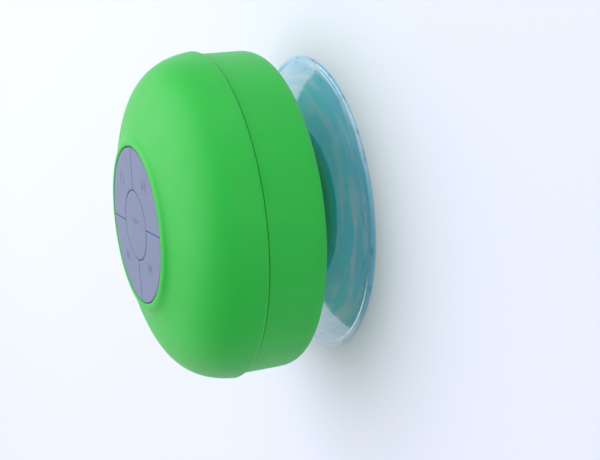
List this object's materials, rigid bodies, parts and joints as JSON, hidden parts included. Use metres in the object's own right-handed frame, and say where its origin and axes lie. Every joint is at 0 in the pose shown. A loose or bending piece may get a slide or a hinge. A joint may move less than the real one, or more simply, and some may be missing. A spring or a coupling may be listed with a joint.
{
  "type": "shower speaker",
  "caption": "Round water-resistant loudspeaker in a silicone jacket, with a rubber keypad on the front and a clear suction cup on the back.",
  "frame": {"origin": "centre of the suction cup's sealing face, which is the lowest plane of the part", "axes": "+Z along the axis from the wall side to the keypad, +Y towards the keypad's top edge, charging inlet on the -Y side"},
  "size_m": [0.086, 0.086, 0.0498],
  "materials": {
    "clear_vinyl": "gloss",
    "jacket_silicone": "soft matte",
    "key_silicone": "soft matte",
    "shell_plastic": "satin",
    "mesh_cloth": "matte",
    "black_rubber": "matte",
    "screw_steel": "satin",
    "pressed_steel": "satin",
    "plated_steel": "satin",
    "ferrite": "matte",
    "spider_cloth": "matte",
    "terminal_board": "matte",
    "paper": "matte",
    "coil_copper": "gloss",
    "board_laminate": "satin",
    "tinned_steel": "satin",
    "black_nylon": "satin",
    "battery_foil": "satin",
    "foam_tape": "matte",
    "ivory_nylon": "satin",
    "wire_vinyl": "satin",
    "chip_epoxy": "matte",
    "clear_epoxy": "gloss",
    "clear_acrylic": "gloss",
    "stem_nylon": "satin"
  },
  "bodies": {
    "mount": {"suction_cup": "clear_vinyl"},
    "housing": {"rear_skin": "jacket_silicone", "rear_shell": "shell_plastic", "acoustic_mesh": "mesh_cloth", "shell_seal": "black_rubber", "shell_screws": "screw_steel", "driver_gasket": "black_rubber", "driver_surround": "black_rubber", "driver_basket": "pressed_steel", "driver_top_plate": "plated_steel", "driver_magnet": "ferrite", "driver_yoke": "plated_steel", "driver_spider": "spider_cloth", "driver_terminals": "terminal_board", "driver_screws": "screw_steel", "charge_board": "board_laminate", "charge_board_screws": "screw_steel", "usb_port_shell": "tinned_steel", "usb_port_tongue": "black_nylon", "battery": "battery_foil", "battery_tape": "foam_tape", "battery_plug": "ivory_nylon", "battery_leads": "wire_vinyl", "driver_leads": "wire_vinyl", "charge_leads": "wire_vinyl", "main_board": "board_laminate", "board_screws": "screw_steel", "board_chips": "chip_epoxy", "radio_module": "tinned_steel", "switch_bodies": "black_nylon", "status_led": "clear_epoxy", "light_pipe": "clear_acrylic", "microphone": "plated_steel", "microphone_boot": "black_rubber", "front_shell": "shell_plastic", "front_skin": "jacket_silicone", "keypad_membrane": "key_silicone"},
    "cone": {"driver_cone": "paper", "dust_cap": "paper", "voice_coil": "coil_copper"},
    "port_flap": {"port_cover": "jacket_silicone"},
    "centre_key": {"key_centre": "key_silicone", "switch_stem_centre": "stem_nylon"},
    "power_key": {"key_power": "key_silicone", "switch_stem_power": "stem_nylon"},
    "play_key": {"key_play": "key_silicone", "switch_stem_play": "stem_nylon"},
    "previous_key": {"key_previous": "key_silicone", "switch_stem_previous": "stem_nylon"},
    "next_key": {"key_next": "key_silicone", "switch_stem_next": "stem_nylon"}
  },
  "joints": [
    {"name": "cup_swivel", "type": "hinge", "parent": "mount", "child": "housing", "pos_m": [0, 0, 0.0142], "axis": [0, 0, 1], "continuous": true},
    {"name": "port_flap_hinge", "type": "hinge", "parent": "housing", "child": "port_flap", "pos_m": [0, -0.04105, 0.026], "axis": [-1, 0, 0], "range_deg": [0, 90]},
    {"name": "cone_travel", "type": "slide", "parent": "housing", "child": "cone", "axis": [0, 0, -1], "range_m": [-0.001, 0.001], "stiffness_N_per_m": 2400, "deforming": ["driver_surround", "driver_spider"]},
    {"name": "centre_key_press", "type": "slide", "parent": "housing", "child": "centre_key", "axis": [0, 0, -1], "range_m": [0, 0.0005], "stiffness_N_per_m": 3200, "springref_m": -0.0001},
    {"name": "power_key_press", "type": "slide", "parent": "housing", "child": "power_key", "axis": [0, 0, -1], "range_m": [0, 0.0005], "stiffness_N_per_m": 3200, "springref_m": -0.0001},
    {"name": "play_key_press", "type": "slide", "parent": "housing", "child": "play_key", "axis": [0, 0, -1], "range_m": [0, 0.0005], "stiffness_N_per_m": 3200, "springref_m": -0.0001},
    {"name": "previous_key_press", "type": "slide", "parent": "housing", "child": "previous_key", "axis": [0, 0, -1], "range_m": [0, 0.0005], "stiffness_N_per_m": 3200, "springref_m": -0.0001},
    {"name": "next_key_press", "type": "slide", "parent": "housing", "child": "next_key", "axis": [0, 0, -1], "range_m": [0, 0.0005], "stiffness_N_per_m": 3200, "springref_m": -0.0001}
  ]
}
